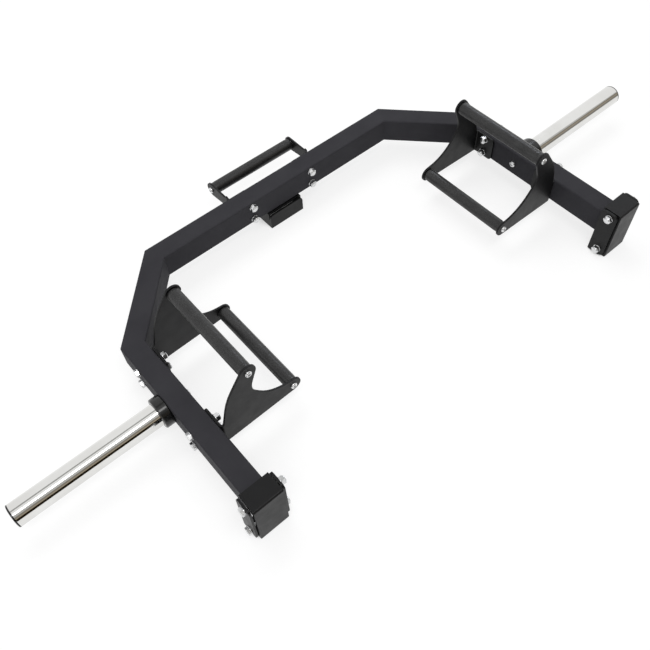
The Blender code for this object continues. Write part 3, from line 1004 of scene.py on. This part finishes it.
@dataclass(frozen=True)
class FoldedSheet:
    """A plate that is cut flat and folded once by a right angle.

    flange_at is where the middle of the folded flange lies along the web.
    """

    flange_at: float
    inner_radius: float = 0.0025
    edge: float = 0.0007
    steps: int = 8

    @property
    def middle_radius(self) -> float:
        """The fold's radius at the sheet's middle."""
        return self.inner_radius + PLATE / 2

    @property
    def fold_at(self) -> float:
        """Where the fold starts along the web."""
        return self.flange_at - self.middle_radius

    @property
    def allowance(self) -> float:
        """The length of sheet that the fold takes."""
        return self.middle_radius * math.pi / 2

    def flange(self, reach: float, half_height: float, corner: float) -> list[Circle]:
        """Returns the flange's part of the flat pattern, for belt.

        Args:
            reach: From the web's outer face to the flange's end.
            half_height: Half the flange's height.
            corner: The radius of its two corners.

        Returns:
            The fold's lower end and both corners.
        """
        round_at = self.fold_at + self.allowance + reach - PLATE / 2 - self.middle_radius - corner
        return [
            (self.fold_at, -half_height, 0.0),
            (round_at, -half_height + corner, corner),
            (round_at, half_height - corner, corner),
        ]

    def bend(self, u: float, w: float) -> Point2:
        """Returns where a point of the flat sheet goes.

        Args:
            u: Its place across the fold.
            w: Its height over the sheet's middle.

        Returns:
            Its place along the web, and aside of it along the flange.
        """
        beyond = u - self.fold_at
        if beyond <= 0:
            return u, w
        turn = min(beyond / self.middle_radius, math.pi / 2)
        rest = max(0.0, beyond - self.allowance)
        along = self.fold_at + (self.middle_radius - w) * math.sin(turn)
        aside = self.middle_radius - (self.middle_radius - w) * math.cos(turn) + rest
        return along, aside

    def make(self, outline: Sequence[Point2], place: Callable[[float, float, float], Vector]) -> Mesh:
        """Returns the folded sheet.

        Args:
            outline: The flat pattern as (u, v); u crosses the fold.
            place: Maps (along, v, aside) to the bar's frame; aside is positive on the
                fold's inner side.

        Returns:
            The folded solid with softened rims.
        """
        mesh = soften(prism(outline, -PLATE / 2, PLATE / 2), self.edge)
        for step in range(self.steps + 1):
            cut = self.fold_at + self.allowance * step / self.steps
            everything = mesh.verts[:] + mesh.edges[:] + mesh.faces[:]
            bmesh.ops.bisect_plane(mesh, geom=everything, plane_co=(cut, 0, 0), plane_no=(1, 0, 0))
        for vert in mesh.verts:
            along, aside = self.bend(vert.co.x, vert.co.z)
            vert.co = place(along, vert.co.y, aside)
        return settled(outward(mesh))


@dataclass(frozen=True)
class Grip:
    """A grip bar: knurled between two smooth bands."""

    shop: Workshop
    radius: float = 0.015
    band: float = 0.009
    columns: int = 92
    depth: float = 0.00028
    valley_share: float = 0.2
    face_radius: float = 0.0045
    chamfer: float = 0.0008
    lead: float = 0.0006
    sharp: float = math.radians(60)

    def fit(self, node: str, middle: Point3, direction: Point3, half_length: float) -> None:
        """Makes one grip with its raised diamonds.

        Args:
            node: The node it stands for.
            middle: The grip's middle.
            direction: Its axis.
            half_length: Half its length.
        """
        pitch = 2 * math.pi * self.radius / self.columns
        knurl = half_length - self.band
        rows = round(2 * knurl / pitch)
        smooth = self.radius - self.depth
        end = [
            (-half_length, self.face_radius, 0.0),
            (-half_length, smooth - self.chamfer, 0.0),
            (-half_length + self.chamfer, smooth, 0.0),
            (-knurl - self.lead, smooth, 0.0),
        ]
        stack = end + [(-knurl + 2 * knurl * row / rows, smooth, self.depth) for row in range(rows + 1)]
        stack.extend((-offset, radius, tooth) for offset, radius, tooth in reversed(end))
        place = along_axis(middle, direction)
        rings = []
        for row, (offset, radius, tooth) in enumerate(stack):
            ring = []
            for column, angle in enumerate(round_angles(self.columns)):
                far = radius + (tooth if (row + column) % 2 else -tooth * self.valley_share)
                ring.append(place @ round_point(angle, far, offset))
            rings.append(ring)
        self.shop.piece(node, ring_mesh(rings), Coat.GRIP, sharp=self.sharp)


@dataclass(frozen=True)
class SideHandles:
    """Both sides' handle plates, grips and bolts."""

    shop: Workshop
    bolts: Fasteners
    tube: TubeFrame
    grip: Grip
    half_span: float = 0.125
    reach: float = 0.059
    half_height: float = 0.0315
    corner: float = 0.010
    upper: Point2 = (0.410, 0.146)
    lower: Point2 = (0.316, -0.006)
    lobe: float = 0.019
    belly: Circle = (0.330, 0.036, 0.148)
    scoops: tuple[Circle, Circle] = ((0.362, 0.093, -0.045), (0.312, 0.1085, -0.095))
    bolt_y: float = 0.094
    bolt_z: float = 0.021

    @property
    def spots(self) -> tuple[tuple[str, Point2], ...]:
        """The grips' names and their (x, z) on the right side."""
        return ("upper", self.upper), ("lower", self.lower)

    @property
    def sheet(self) -> FoldedSheet:
        """The sheet of every plate."""
        return FoldedSheet(self.tube.inner_x - GAP - PLATE / 2)

    @property
    def outline(self) -> list[Point2]:
        """The flat pattern of every plate."""
        return belt([
            *self.sheet.flange(self.reach, self.half_height, self.corner),
            (self.sheet.fold_at, self.half_height, 0.0),
            self.belly,
            (*self.upper, self.lobe),
            *self.scoops,
            (*self.lower, self.lobe),
        ])

    def build(self) -> None:
        """Builds four plates, four grips and their sixteen bolts."""
        for side in Side:
            for end in End:
                self.build_end(side, end)
            for spot, (x, z) in self.spots:
                self.grip.fit(f"{side.label}_{spot}_grip", (side.value * x, 0.0, z), (0, 1, 0),
                              self.half_span - PLATE - GAP)

    def build_end(self, side: Side, end: End) -> None:
        """Builds one folded plate and the bolts that hold it.

        Args:
            side: The bar's half.
            end: The handle's end.
        """
        middle = end.value * (self.half_span - PLATE / 2)

        def place(along: float, v: float, aside: float) -> Vector:
            """Puts a folded point on this side and end."""
            return Vector((side.value * along, middle - end.value * aside, v))

        node = f"{side.label}_{end.label}_handle_plate"
        self.shop.piece(node, self.sheet.make(self.outline, place), Coat.PLATE)
        for spot, (x, z) in self.spots:
            self.bolts.socket(f"{side.label}_{spot}_grip_{end.label}_bolt",
                              (side.value * x, end.value * self.half_span, z), (0, -end.value, 0),
                              self.bolts.grip_bolt, PLATE)
        for spot, z in (("upper", self.bolt_z), ("lower", -self.bolt_z)):
            self.bolts.through(f"{side.label}_{end.label}_plate_{spot}_bolt",
                               (side.value * self.tube.outer_x, end.value * self.bolt_y, z),
                               (-side.value, 0, 0), self.tube.width + PLATE + GAP)


@dataclass(frozen=True)
class BackHandle:
    """The handle behind the back beam.

    plug is the profile of the weld over a stud's end, as (out of the plate, radius).
    """

    shop: Workshop
    bolts: Fasteners
    tube: TubeFrame
    grip: Grip
    plate_x: float = 0.125
    grip_y: float = 0.428
    grip_z: float = 0.008
    lobe: float = 0.018
    reach: float = 0.058
    half_height: float = 0.0245
    corner: float = 0.010
    stud_x: float = 0.090
    stud_z: float = 0.019
    throat: float = 0.022
    throat_radius: float = 0.006
    shoulder: float = 0.0135
    shoulder_top: float = 0.0305
    shoulder_radius: float = 0.0025
    shoulder_root: float = 0.0015
    plug: tuple[Point2, ...] = (
        (-0.0010, 0.0049), (0.0003, 0.0048), (0.0006, 0.0042), (0.0004, 0.0030), (0.0003, 0.0004))

    @property
    def wall(self) -> float:
        """The Y of the flanges' front faces."""
        return self.tube.rear_y + GAP

    @property
    def sheet(self) -> FoldedSheet:
        """The sheet of both plates."""
        return FoldedSheet(-(self.wall + PLATE / 2))

    @property
    def outline(self) -> list[Point2]:
        """The flat pattern of both plates."""
        sheet, wall = self.sheet, self.wall
        crest, root = self.shoulder_radius, self.shoulder_root
        return belt([
            *sheet.flange(self.reach, self.half_height, self.corner),
            (sheet.fold_at + sheet.allowance, self.half_height, 0.0),
            (sheet.fold_at, self.shoulder_top, 0.0),
            (-(wall + self.shoulder - crest), self.shoulder_top - crest, crest),
            (-(wall + self.shoulder + root), self.grip_z + self.lobe + root, -root),
            (-self.grip_y, self.grip_z, self.lobe),
            (-(wall + self.throat), self.grip_z - self.lobe, -self.throat_radius),
        ])

    def build(self) -> None:
        """Builds two folded plates, the grip, its bolts and four studs."""
        for side in Side:
            self.build_side(side)
        self.grip.fit("back_grip", (0.0, self.grip_y, self.grip_z), (1, 0, 0), self.plate_x - PLATE - GAP)

    def build_side(self, side: Side) -> None:
        """Builds one plate, its grip bolt and its studs, each behind a flat plug weld.

        Args:
            side: The handle's side.
        """
        middle = side.value * (self.plate_x - PLATE / 2)

        def place(along: float, v: float, aside: float) -> Vector:
            """Puts a folded point on this side."""
            return Vector((middle - side.value * aside, -along, v))

        studs = [(spot, (side.value * self.stud_x, self.wall + PLATE, z))
                 for spot, z in (("upper", self.stud_z), ("lower", -self.stud_z))]
        parts = [self.sheet.make(self.outline, place)]
        parts += [turned(self.plug, sides=32, start=start, direction=(0, 1, 0)) for _, start in studs]
        self.shop.piece(f"back_handle_{side.label}_plate", merged(parts), Coat.PLATE)
        self.bolts.socket(f"back_grip_{side.label}_bolt",
                          (side.value * self.plate_x, self.grip_y, self.grip_z), (-side.value, 0, 0),
                          self.bolts.grip_bolt, PLATE)
        for spot, start in studs:
            self.bolts.through(f"back_beam_{side.label}_{spot}_stud", start, (0, -1, 0),
                               self.tube.width + PLATE + GAP, headed=False)


@dataclass(frozen=True)
class FootSheet:
    """The sheet that all three feet are folded from."""

    slot: float = 0.0020
    corner: float = 0.010
    fold: float = 0.0045
    inside: float = 0.001
    overlap: float = 0.002
    edge: float = 0.0006

    def channel(self, u_low: float, u_high: float, base: float, low_end: float, high_end: float
                ) -> list[Point2]:
        """Returns the outline of a strip folded twice.

        Args:
            u_low: Outer face of the first leg.
            u_high: Outer face of the second leg.
            base: Outer face of the web between them.
            low_end: Where the first leg ends.
            high_end: Where the second leg ends.

        Returns:
            The outline's points, counter-clockwise.
        """
        rise = 1 if low_end > base else -1
        fold, inner = base + rise * self.fold, base + rise * (PLATE + self.inside)
        circles: list[Circle] = [
            (u_low + self.fold, fold, self.fold),
            (u_high - self.fold, fold, self.fold),
            (u_high, high_end, 0.0),
            (u_high - PLATE, high_end, 0.0),
            (u_high - PLATE - self.inside, inner, -self.inside),
            (u_low + PLATE + self.inside, inner, -self.inside),
            (u_low + PLATE, low_end, 0.0),
            (u_low, low_end, 0.0),
        ]
        return belt(circles if rise > 0 else circles[::-1], step=math.radians(10))


@dataclass(frozen=True)
class FrontFeet:
    """The folded boxes that close the arms' open ends and stand on the floor."""

    shop: Workshop
    bolts: Fasteners
    tube: TubeFrame
    sheet: FootSheet = FootSheet()
    cap_half_width: float = 0.0335
    top_z: float = 0.058
    flap_top_z: float = 0.057
    front_y: float = -0.311
    flap_front_y: float = -0.306
    back_y: float = -0.265
    floor_z: float = -0.078
    bolt_y: float = -0.288
    bolt_z: Point2 = (0.0425, -0.0585)

    @property
    def half_width(self) -> float:
        """Half the width over the flaps."""
        return self.cap_half_width + self.sheet.slot + PLATE

    def box(self, middle: float) -> Mesh:
        """Returns one foot: a strip over the top, front and floor between two flaps.

        Args:
            middle: The X of its middle.

        Returns:
            The foot's closed mesh.
        """
        sheet = self.sheet
        relief = self.flap_front_y + sheet.corner
        root = self.floor_z + sheet.fold
        left, right = middle - self.half_width, middle + self.half_width
        strip = sheet.channel(self.floor_z, self.top_z, self.front_y, relief + sheet.overlap, self.back_y)
        tray = sheet.channel(left, right, self.floor_z, root + sheet.overlap, root + sheet.overlap)
        flap = belt([
            (relief, root + sheet.corner, sheet.corner),
            (self.back_y, root, 0.0),
            (self.back_y - sheet.corner, self.flap_top_z - sheet.corner, sheet.corner),
            (relief, self.flap_top_z - sheet.corner, sheet.corner),
        ])
        cap = prism([(y, z) for z, y in strip], middle - self.cap_half_width,
                    middle + self.cap_half_width, FLAT_YZ)
        parts = [cap, prism(tray, relief, self.back_y, FLAT_XZ)]
        parts += [prism(flap, start, start + PLATE, FLAT_YZ) for start in (left, right - PLATE)]
        return soften(united(parts), sheet.edge)

    def build(self) -> None:
        """Builds both feet and their four bolts."""
        for side in Side:
            middle = side.value * self.tube.arm_x
            node = f"{side.label}_front_foot"
            self.shop.piece(node, self.box(middle), Coat.PLATE)
            for spot, z in zip(("upper", "lower"), self.bolt_z):
                self.bolts.through(f"{node}_{spot}_bolt",
                                   (middle + side.value * self.half_width, self.bolt_y, z),
                                   (-side.value, 0, 0), 2 * self.half_width)


@dataclass(frozen=True)
class BackFoot:
    """The folded box under the middle of the back beam, open below."""

    shop: Workshop
    tube: TubeFrame
    sheet: FootSheet = FootSheet()
    half_width: float = 0.0505
    front_y: float = 0.295
    floor_z: float = -0.078
    flap_top_z: float = -0.036
    join_z: float = -0.050

    def build(self) -> None:
        """Builds the channel across the beam and the flap in front of and behind it."""
        sheet, wall = self.sheet, self.half_width
        beam_middle = self.tube.rear_y - self.tube.width / 2
        reach = beam_middle - self.front_y
        inset = reach - PLATE - sheet.slot
        channel = sheet.channel(-wall, wall, -self.tube.height / 2 - GAP, self.floor_z, self.floor_z)
        flap = belt([
            (-wall, self.floor_z, 0.0),
            (wall, self.floor_z, 0.0),
            (wall - sheet.corner, self.flap_top_z - sheet.corner, sheet.corner),
            (-wall + sheet.corner, self.flap_top_z - sheet.corner, sheet.corner),
        ])
        parts = [prism(channel, beam_middle - inset, beam_middle + inset, FLAT_XZ)]
        for end in End:
            outer = beam_middle + end.value * reach
            parts.append(prism(flap, *sorted((outer, outer - end.value * PLATE)), FLAT_XZ))
            near = outer - end.value * (PLATE - sheet.overlap)
            far = outer - end.value * (PLATE + sheet.slot + sheet.overlap)
            low, high = sorted((near, far))
            join = [(low, self.floor_z), (high, self.floor_z), (high, self.join_z), (low, self.join_z)]
            parts += [prism(join, start, start + PLATE, FLAT_YZ) for start in (-wall, wall - PLATE)]
        self.shop.piece("back_foot", soften(united(parts), sheet.edge), Coat.PLATE)


@dataclass(frozen=True)
class LoadingSleeves:
    """The turning sleeves with their collars, caps and the bolts of their axles.

    Rims are (along, inward) steps from a corner. The cap's dish is (along, radius).
    """

    shop: Workshop
    bolts: Fasteners
    tube: TubeFrame
    radius: float = 0.025
    bore: float = 0.0195
    length: float = 0.3176
    running_gap: float = 0.0004
    sleeve_rim: tuple[Point2, ...] = ((-0.0009, 0.0), (-0.0003, 0.0003), (0.0, 0.0009))
    collar_radius: float = 0.034
    collar_length: float = 0.0215
    collar_bore: float = 0.0126
    collar_root: tuple[Point2, ...] = ((0.0, 0.0018), (0.0006, 0.0006), (0.0018, 0.0))
    collar_rim: tuple[Point2, ...] = ((-0.0032, 0.0), (-0.0016, 0.0006), (-0.0005, 0.0020), (0.0, 0.0038))
    cap_depth: float = 0.010
    cap_lip: float = 0.0035
    cap_inset: float = 0.0003
    cap_rim: tuple[Point2, ...] = ((-0.0016, 0.0002), (-0.0006, 0.0008), (-0.0001, 0.0022))
    cap_dish: tuple[Point2, ...] = ((-0.0001, 0.0150), (-0.0009, 0.0140), (-0.0009, 0.0006))
    cap_eye: float = 0.0006
    sides: int = 96

    def build(self) -> None:
        """Builds both sleeves."""
        start = self.tube.outer_x + GAP + self.running_gap
        end = start + self.collar_length
        face = end + self.length
        tip = face - self.cap_lip
        collar = [
            (start, self.collar_bore),
            *lip(start, self.collar_radius, self.collar_root),
            *lip(end, self.collar_radius, self.collar_rim),
            (end, self.collar_bore),
        ]
        sleeve = [
            (end + GAP, self.bore),
            (end + GAP, self.radius),
            *lip(tip, self.radius, self.sleeve_rim),
            (tip, self.bore),
        ]
        cap = [
            (tip - self.cap_depth, self.cap_eye),
            (tip - self.cap_depth, self.bore - GAP),
            (tip + GAP, self.bore - GAP),
            (tip + GAP, self.radius - self.cap_inset),
            *lip(face, self.radius, self.cap_rim),
            *((face + along, radius) for along, radius in self.cap_dish),
        ]
        for side in Side:
            out = (side.value, 0, 0)
            for name, profile, coat, loop in (("collar", collar, Coat.POLYMER, True),
                                              ("sleeve", sleeve, Coat.CHROME, True),
                                              ("end_cap", cap, Coat.POLYMER, False)):
                mesh = turned(profile, self.sides, ORIGIN, out, loop)
                self.shop.piece(f"{side.label}_{name}", mesh, coat, f"{side.label}_sleeve_unit")
            self.bolts.socket(f"{side.label}_axle_bolt", (side.value * self.tube.inner_x, 0.0, 0.0), out,
                              self.bolts.axle_bolt, self.tube.width + GAP)
            self.shop.keep(f"{side.label}_axle", Coat.STEEL)
            for place in ("inner", "outer"):
                self.shop.keep(f"{side.label}_{place}_bush", Coat.BRONZE)


# Studio


def emptied(owner: bpy.types.Material | bpy.types.World) -> NodeSheet:
    """Returns a sheet for an owner's node tree, with its first nodes gone.

    Args:
        owner: A new material or world.

    Returns:
        The sheet.
    """
    owner.use_nodes = True
    owner.node_tree.nodes.clear()
    return NodeSheet(owner.node_tree)


@dataclass(frozen=True)
class Card:
    """A plain glowing card that only reflections see."""

    name: str
    middle: Point3
    size: Point2
    shade: Colour
    facing: Point3 = (0, 1, 0)

    def hang(self) -> None:
        """Hangs the card."""
        bpy.ops.mesh.primitive_plane_add(size=1.0)
        item = bpy.context.object
        item.name = self.name
        item.scale = (*self.size, 1.0)
        item.location = self.middle
        item.rotation_mode = "QUATERNION"
        item.rotation_quaternion = Vector(self.facing).to_track_quat("Z", "Y")
        material = bpy.data.materials.new(self.name)
        sheet = emptied(material)
        glow = sheet.node("ShaderNodeEmission", Color=(*self.shade, 1.0)).outputs[0]
        sheet.node("ShaderNodeOutputMaterial", Surface=glow)
        item.data.materials.append(material)
        for unseen in ("camera", "diffuse", "shadow", "transmission"):
            setattr(item, f"visible_{unseen}", False)


@dataclass(frozen=True)
class Lamp:
    """A soft rectangular lamp that faces straight down.

    size runs along X and Y, power is in watts, and mirrored says whether polished metal
    reflects the lamp.
    """

    name: str
    middle: Point3
    size: Point2
    power: float
    mirrored: bool = True

    def hang(self) -> None:
        """Hangs the lamp."""
        data = bpy.data.lights.new(self.name, "AREA")
        data.shape = "RECTANGLE"
        data.size, data.size_y = self.size
        data.energy = self.power
        item = linked(self.name, data)
        item.location = self.middle
        item.visible_glossy = self.mirrored


@dataclass(frozen=True)
class Studio:
    """Floor, world, lamps, reflection cards and the camera.

    The camera's turn is in degrees round X, Y and Z. fill is the world's strength as a
    light. floor_matt lights the bar from below; the camera sees floor_lit with a glow
    that ambient occlusion dims where the bar stands close over the floor, a painted
    contact shadow.
    """

    lens: float = 40.27
    sensor: float = 36.0
    view_depth: float = 60.0
    camera_at: Point3 = (-0.7110, -0.8216, 1.3637)
    camera_turn: Point3 = (34.31, 1.91, -40.44)
    fill: float = 0.50
    floor_size: float = 30.0
    floor_z: float = -0.0002
    floor_matt: float = 0.90
    floor_lit: float = 0.34
    floor_glow: float = 0.74
    contact: float = 0.06
    contact_across: Point2 = (0.10, 0.45)
    lamps: tuple[Lamp, ...] = (
        Lamp("key_lamp", (-0.75, -1.12, 2.9), (2.0, 0.6), 24.0),
        Lamp("fill_lamp", (0.4, 1.6, 2.9), (2.6, 1.6), 32.0, mirrored=False),
    )
    # Glowing sheets that only reflections see. They paint reflections of a room into the chrome sleeves, and
    # a near-black sheet paints their dark band. The last, bright sheet paints a highlight streak on the
    # front of the right upper grip.
    cards: tuple[Card, ...] = (
        Card("pale_wall", (0.0, -4.2, 5.25), (16.0, 2.9), (0.55, 0.545, 0.53)),
        Card("grey_wall", (0.0, -4.2, 3.05), (16.0, 1.50), (0.26, 0.235, 0.20)),
        Card("warm_wall", (0.0, -4.2, 1.95), (16.0, 0.72), (0.42, 0.36, 0.27)),
        Card("dark_skirting", (-2.85, -4.15, 0.80), (10.3, 1.60), (0.016, 0.011, 0.005)),
        Card("soft_skirting", (5.15, -4.15, 0.80), (5.7, 1.60), (0.26, 0.245, 0.22)),
        Card("grey_strip", (-0.75, 0.62, 2.85), (4.5, 0.62), (0.42, 0.42, 0.41), (0, 0, -1)),
        Card("cool_panel", (1.79, 0.90, 1.97), (0.80, 0.35), (7.0, 7.4, 8.2), (-0.55, -0.40, -0.73)),
    )

    def camera(self) -> None:
        """Places the camera at the photograph's viewing angle."""
        data = bpy.data.cameras.new("camera")
        data.sensor_width = self.sensor
        data.lens = self.lens
        data.clip_end = self.view_depth
        item = linked("camera", data)
        item.location = self.camera_at
        item.rotation_euler = [math.radians(angle) for angle in self.camera_turn]
        bpy.context.scene.camera = item

    def shown(self, sheet: NodeSheet, light: Socket, look: Socket) -> Socket:
        """Returns a shader that lights in one way and looks another.

        Args:
            sheet: The tree that it goes in.
            light: What diffuse light rays meet.
            look: What rays from the camera, a mirror or a pane meet.

        Returns:
            The mixed shader's socket.
        """
        path = sheet.node("ShaderNodeLightPath")
        seen = path.outputs["Is Camera Ray"]
        for name in ("Is Glossy Ray", "Is Transmission Ray"):
            seen = sheet.joined("ShaderNodeMath", seen, path.outputs[name], operation="MAXIMUM")
        return sheet.joined("ShaderNodeMixShader", seen, light, look)

    def world(self) -> None:
        """Makes a white background that lights the bar softly."""
        world = bpy.data.worlds.new("studio")
        sheet = emptied(world)
        dim, bright = (sheet.node("ShaderNodeBackground", Color=WHITE, Strength=strength).outputs[0]
                       for strength in (self.fill, 1.0))
        sheet.node("ShaderNodeOutputWorld", Surface=self.shown(sheet, dim, bright))
        bpy.context.scene.world = world

    def floor(self) -> None:
        """Makes the pale floor, which keeps a light shadow of the bar and a painted contact shadow where
        ambient occlusion dims its glow.
        """
        bpy.ops.mesh.primitive_plane_add(size=self.floor_size, location=(0.0, 0.0, self.floor_z))
        item = bpy.context.object
        item.name = "studio_floor"
        material = bpy.data.materials.new("pale_floor")
        sheet = emptied(material)
        matt, lit = (sheet.node("ShaderNodeBsdfDiffuse", Color=(*grey(tone), 1.0)).outputs[0]
                     for tone in (self.floor_matt, self.floor_lit))
        # Ambient occlusion dims the glow that the camera sees under and inside the feet: a painted contact
        # shadow.
        open_air = sheet.node("ShaderNodeAmbientOcclusion", Distance=self.contact)
        low, high = self.contact_across
        level = sheet.node("ShaderNodeMapRange", Value=open_air.outputs["AO"], From_Min=low, From_Max=high,
                           To_Max=self.floor_glow)
        glow = sheet.node("ShaderNodeEmission", Strength=level.outputs["Result"]).outputs[0]
        look = sheet.joined("ShaderNodeAddShader", lit, glow)
        sheet.node("ShaderNodeOutputMaterial", Surface=self.shown(sheet, matt, look))
        item.data.materials.append(material)

    def build(self) -> None:
        """Builds the whole studio."""
        self.world()
        self.floor()
        for item in (*self.lamps, *self.cards):
            item.hang()
        self.camera()
        bpy.context.scene.view_settings.view_transform = "Standard"


def main() -> None:
    """Builds the bar's looks and the studio around it."""
    logging.basicConfig(level=logging.INFO, format="%(name)s: %(message)s")
    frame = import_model()
    shop = Workshop(frame, {coat: finish.make(coat.value) for coat, finish in FINISHES.items()})
    bolts, tube, grip = Fasteners(shop), TubeFrame(shop), Grip(shop)
    for builder in (tube, SideHandles(shop, bolts, tube, grip), BackHandle(shop, bolts, tube, grip),
                    FrontFeet(shop, bolts, tube), BackFoot(shop, tube), LoadingSleeves(shop, bolts, tube),
                    Studio()):
        LOG.info("Building %s", type(builder).__name__)
        builder.build()


if __name__ == "__main__":
    main()
